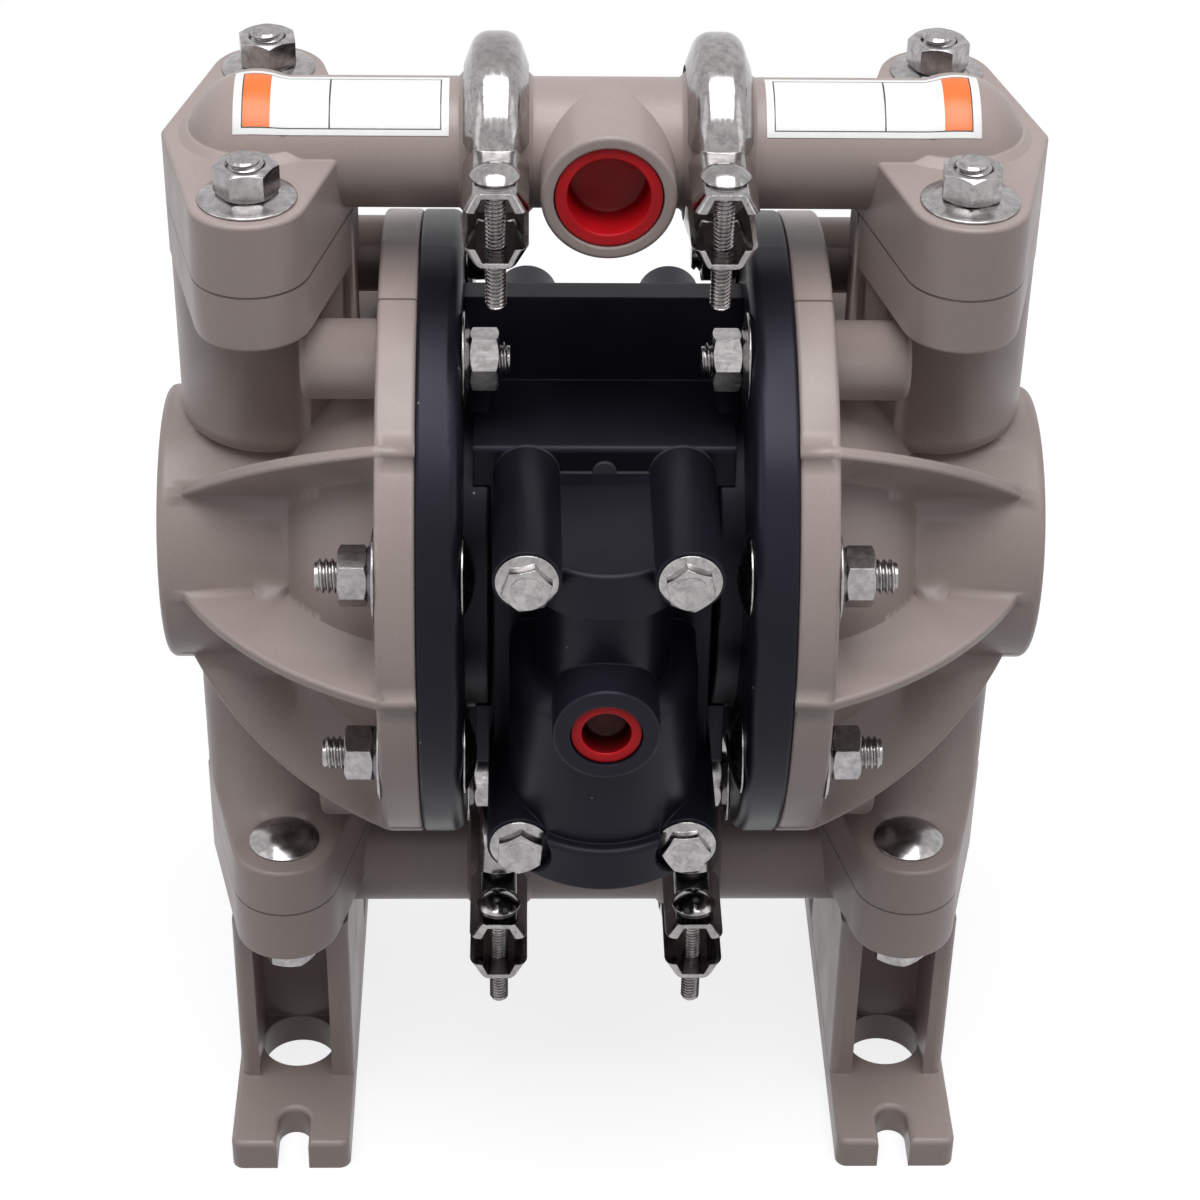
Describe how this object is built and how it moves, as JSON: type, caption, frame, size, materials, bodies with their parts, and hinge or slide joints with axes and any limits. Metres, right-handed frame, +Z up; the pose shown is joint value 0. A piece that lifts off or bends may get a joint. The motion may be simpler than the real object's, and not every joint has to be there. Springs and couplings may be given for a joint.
{
  "type": "air operated diaphragm pump",
  "caption": "Air driven twin-diaphragm pump on two feet, with ball check valves, swivelling port tees, spool valve and band-clamped manifolds.",
  "frame": {"origin": "on the floor, below the middle of the pump", "axes": "+X along the diaphragm axis to the right, +Y to the rear, +Z up"},
  "size_m": [0.211, 0.17, 0.2943],
  "materials": {
    "tan_plastic": "matte",
    "black_plastic": "satin",
    "red_plastic": "satin",
    "bright_steel": "polished",
    "clamp_steel": "polished",
    "seal_rubber": "matte",
    "diaphragm_rubber": "matte",
    "white_plastic": "satin",
    "bearing_plastic": "satin"
  },
  "bodies": {
    "pump_body": {"air_cap_left": "black_plastic", "air_cap_right": "black_plastic", "air_cap_screws": "bright_steel", "centre_body": "black_plastic", "clamp_bolts": "clamp_steel", "clamp_nuts": "clamp_steel", "diaphragm_left": "diaphragm_rubber", "diaphragm_right": "diaphragm_rubber", "exhaust_housing": "black_plastic", "exhaust_housing_screws": "bright_steel", "flange_bolts": "bright_steel", "flange_nuts": "bright_steel", "flange_studs": "bright_steel", "flange_washers": "bright_steel", "fluid_cap_left": "tan_plastic", "fluid_cap_right": "tan_plastic", "foot_elbow_left": "tan_plastic", "foot_elbow_right": "tan_plastic", "front_gasket": "seal_rubber", "lower_clamp_left": "clamp_steel", "lower_clamp_right": "clamp_steel", "manifold_bolts": "bright_steel", "manifold_nuts": "bright_steel", "manifold_rings": "seal_rubber", "manifold_washers": "bright_steel", "outlet_elbow_left": "tan_plastic", "outlet_elbow_right": "tan_plastic", "pilot_bushings": "bearing_plastic", "rear_gasket": "seal_rubber", "rod_bushing": "bearing_plastic", "rod_seals": "seal_rubber", "seat_rings": "seal_rubber", "spool_end_plug": "bearing_plastic", "spool_plug_ring": "seal_rubber", "spool_sleeve": "bearing_plastic", "upper_clamp_left": "clamp_steel", "upper_clamp_right": "clamp_steel", "valve_housing": "black_plastic", "valve_housing_screws": "bright_steel", "valve_seats": "bearing_plastic"},
    "rod": {"connecting_rod": "bright_steel", "air_washer_left": "bright_steel", "air_washer_right": "bright_steel", "fluid_washer_left": "bright_steel", "fluid_washer_right": "bright_steel", "diaphragm_screws": "bright_steel"},
    "pilot": {"pilot_pin": "bright_steel"},
    "spool": {"spool": "bearing_plastic"},
    "inlet_ball_left": {"inlet_ball_left": "white_plastic"},
    "inlet_ball_right": {"inlet_ball_right": "white_plastic"},
    "outlet_ball_left": {"outlet_ball_left": "white_plastic"},
    "outlet_ball_right": {"outlet_ball_right": "white_plastic"},
    "outlet_tee": {"outlet_tee": "tan_plastic"},
    "inlet_tee": {"inlet_tee": "tan_plastic"},
    "outlet_plug": {"outlet_plug": "red_plastic"},
    "inlet_plug": {"inlet_plug": "red_plastic"},
    "air_plug": {"air_plug": "red_plastic"}
  },
  "joints": [
    {"name": "rod_stroke", "type": "slide", "parent": "pump_body", "child": "rod", "axis": [1, 0, 0], "range_m": [-0.006, 0.006], "deforming": ["diaphragm_left", "diaphragm_right"]},
    {"name": "pilot_shift", "type": "slide", "parent": "pump_body", "child": "pilot", "axis": [1, 0, 0], "range_m": [-0.0022, 0.0022]},
    {"name": "spool_shift", "type": "slide", "parent": "pump_body", "child": "spool", "axis": [0, 0, 1], "range_m": [-0.004, 0.004]},
    {"name": "inlet_ball_left_lift", "type": "slide", "parent": "pump_body", "child": "inlet_ball_left", "axis": [0, 0, 1], "range_m": [0, 0.005]},
    {"name": "inlet_ball_right_lift", "type": "slide", "parent": "pump_body", "child": "inlet_ball_right", "axis": [0, 0, 1], "range_m": [0, 0.005]},
    {"name": "outlet_ball_left_lift", "type": "slide", "parent": "pump_body", "child": "outlet_ball_left", "axis": [0, 0, 1], "range_m": [0, 0.005]},
    {"name": "outlet_ball_right_lift", "type": "slide", "parent": "pump_body", "child": "outlet_ball_right", "axis": [0, 0, 1], "range_m": [0, 0.005]},
    {"name": "outlet_tee_swivel", "type": "hinge", "parent": "pump_body", "child": "outlet_tee", "pos_m": [0, 0, 0.2693], "axis": [-1, 0, 0], "range_deg": [0, 180]},
    {"name": "inlet_tee_swivel", "type": "hinge", "parent": "pump_body", "child": "inlet_tee", "pos_m": [0, 0, 0.0627], "axis": [-1, 0, 0], "range_deg": [0, 180]},
    {"name": "outlet_plug_pull", "type": "slide", "parent": "outlet_tee", "child": "outlet_plug", "axis": [0, -1, 0], "range_m": [0, 0.02]},
    {"name": "inlet_plug_pull", "type": "slide", "parent": "inlet_tee", "child": "inlet_plug", "axis": [0, 1, 0], "range_m": [0, 0.02]},
    {"name": "air_plug_pull", "type": "slide", "parent": "pump_body", "child": "air_plug", "axis": [0, -1, 0], "range_m": [0, 0.015]}
  ],
  "couplings": [
    {"joint": "pilot_shift", "follows": "rod_stroke", "ratio": 0.35}
  ]
}
